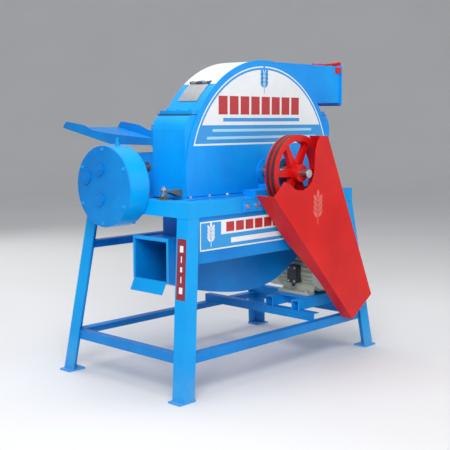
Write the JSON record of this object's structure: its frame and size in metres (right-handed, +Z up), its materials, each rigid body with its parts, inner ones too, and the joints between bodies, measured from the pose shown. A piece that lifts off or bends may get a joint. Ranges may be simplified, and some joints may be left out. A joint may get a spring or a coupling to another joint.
{
  "type": "hammer mill",
  "caption": "Belt-driven hammer mill on a splayed angle-iron stand, with arched casing, side outlet duct, feed tray with feed rollers, spoked pulley, belt guard and electric motor.",
  "frame": {"origin": "on the floor under the middle of the whole machine's box", "axes": "+Z up, X along the machine with the discharge chute towards -X and the outlet duct towards +X, main shaft along Y with the belt drive towards -Y and the feed tray towards +Y"},
  "size_m": [1.402, 1.122, 1.439],
  "materials": {
    "blue_paint": "gloss",
    "red_paint": "gloss",
    "cream_paint": "satin",
    "bare_steel": "satin",
    "cast_iron": "matte",
    "belt_rubber": "matte",
    "grey_paint": "satin",
    "gasket_rubber": "matte",
    "black_plastic": "matte"
  },
  "bodies": {
    "machine": {"bearing_housings": "blue_paint", "bearing_inserts": "bare_steel", "bearing_packings": "blue_paint", "belt_guard": "red_paint", "belts": "belt_rubber", "bolts": "bare_steel", "casing_bearers": "blue_paint", "casing_box": "blue_paint", "chute_mouth": "blue_paint", "clamp_mounts": "grey_paint", "end_rails": "blue_paint", "fan_cowl": "cream_paint", "feed_tray": "blue_paint", "flap_hinge": "red_paint", "foot_plates": "blue_paint", "front_apron": "blue_paint", "front_cover": "blue_paint", "gear_case": "blue_paint", "gear_cover": "blue_paint", "guard_bracket": "blue_paint", "hood": "blue_paint", "inspection_hinge": "grey_paint", "legs": "blue_paint", "long_rails": "blue_paint", "lower_housing": "blue_paint", "motor_base": "blue_paint", "motor_body": "cream_paint", "motor_end_shields": "cream_paint", "motor_rails": "blue_paint", "outlet_duct": "blue_paint", "roller_box": "blue_paint", "roller_bushes": "cast_iron", "screen": "bare_steel", "seam_gaskets": "gasket_rubber", "shaft_seal_plates": "blue_paint", "stalk_table": "blue_paint", "stretchers": "blue_paint", "terminal_box": "black_plastic", "worm_guard": "blue_paint"},
    "rotor": {"main_shaft": "bare_steel", "big_pulley": "red_paint", "rotor_discs": "bare_steel", "rotor_spacers": "bare_steel", "hammer_pins": "bare_steel", "worm": "bare_steel"},
    "hammer_row_1": {"hammers_1": "bare_steel"},
    "hammer_row_2": {"hammers_2": "bare_steel"},
    "hammer_row_3": {"hammers_3": "bare_steel"},
    "hammer_row_4": {"hammers_4": "bare_steel"},
    "lower_feed_roller": {"lower_roller": "bare_steel", "lower_gear": "bare_steel", "worm_wheel": "bare_steel"},
    "upper_feed_roller": {"upper_roller": "bare_steel", "upper_gear": "bare_steel"},
    "motor_rotor": {"motor_shaft": "bare_steel", "motor_fan": "black_plastic", "motor_pulley": "cast_iron"},
    "inspection_door": {"inspection_cover": "grey_paint"},
    "outlet_door": {"outlet_flap": "red_paint"},
    "clamp_bolt": {"clamp_eyebolt": "bare_steel"}
  },
  "joints": [
    {"name": "main_shaft_spin", "type": "hinge", "parent": "machine", "child": "rotor", "pos_m": [0.067, -0.109, 0.908], "axis": [0, 1, 0], "continuous": true},
    {"name": "hammer_row_1_swing", "type": "hinge", "parent": "rotor", "child": "hammer_row_1", "pos_m": [0.2565, -0.186, 1.0975], "axis": [0, 1, 0], "range_deg": [-100, 100]},
    {"name": "hammer_row_2_swing", "type": "hinge", "parent": "rotor", "child": "hammer_row_2", "pos_m": [-0.12251, -0.186, 1.0975], "axis": [0, 1, 0], "range_deg": [-100, 100]},
    {"name": "hammer_row_3_swing", "type": "hinge", "parent": "rotor", "child": "hammer_row_3", "pos_m": [-0.12251, -0.186, 0.71849], "axis": [0, 1, 0], "range_deg": [-100, 100]},
    {"name": "hammer_row_4_swing", "type": "hinge", "parent": "rotor", "child": "hammer_row_4", "pos_m": [0.2565, -0.186, 0.71849], "axis": [0, 1, 0], "range_deg": [-100, 100]},
    {"name": "lower_roller_spin", "type": "hinge", "parent": "machine", "child": "lower_feed_roller", "pos_m": [-0.252, -0.015, 0.806], "axis": [1, 0, 0], "continuous": true},
    {"name": "upper_roller_spin", "type": "hinge", "parent": "machine", "child": "upper_feed_roller", "pos_m": [-0.252, -0.015, 0.936], "axis": [1, 0, 0], "continuous": true},
    {"name": "motor_spin", "type": "hinge", "parent": "machine", "child": "motor_rotor", "pos_m": [0.443, -0.259, 0.397], "axis": [0, 1, 0], "continuous": true},
    {"name": "inspection_door_hinge", "type": "hinge", "parent": "machine", "child": "inspection_door", "pos_m": [-0.25053, -0.186, 1.31296], "axis": [0, 1, 0], "range_deg": [0, 100]},
    {"name": "outlet_flap_hinge", "type": "hinge", "parent": "machine", "child": "outlet_door", "pos_m": [0.683, -0.184, 1.43], "axis": [0, 1, 0], "range_deg": [-85, 0]},
    {"name": "clamp_bolt_swing", "type": "hinge", "parent": "machine", "child": "clamp_bolt", "pos_m": [-0.534, -0.249, 0.826], "axis": [0, 1, 0], "range_deg": [-85, 0]}
  ],
  "couplings": [
    {"joint": "lower_roller_spin", "follows": "main_shaft_spin", "ratio": 0.035714},
    {"joint": "upper_roller_spin", "follows": "main_shaft_spin", "ratio": -0.035714},
    {"joint": "motor_spin", "follows": "main_shaft_spin", "ratio": 2.6615}
  ]
}
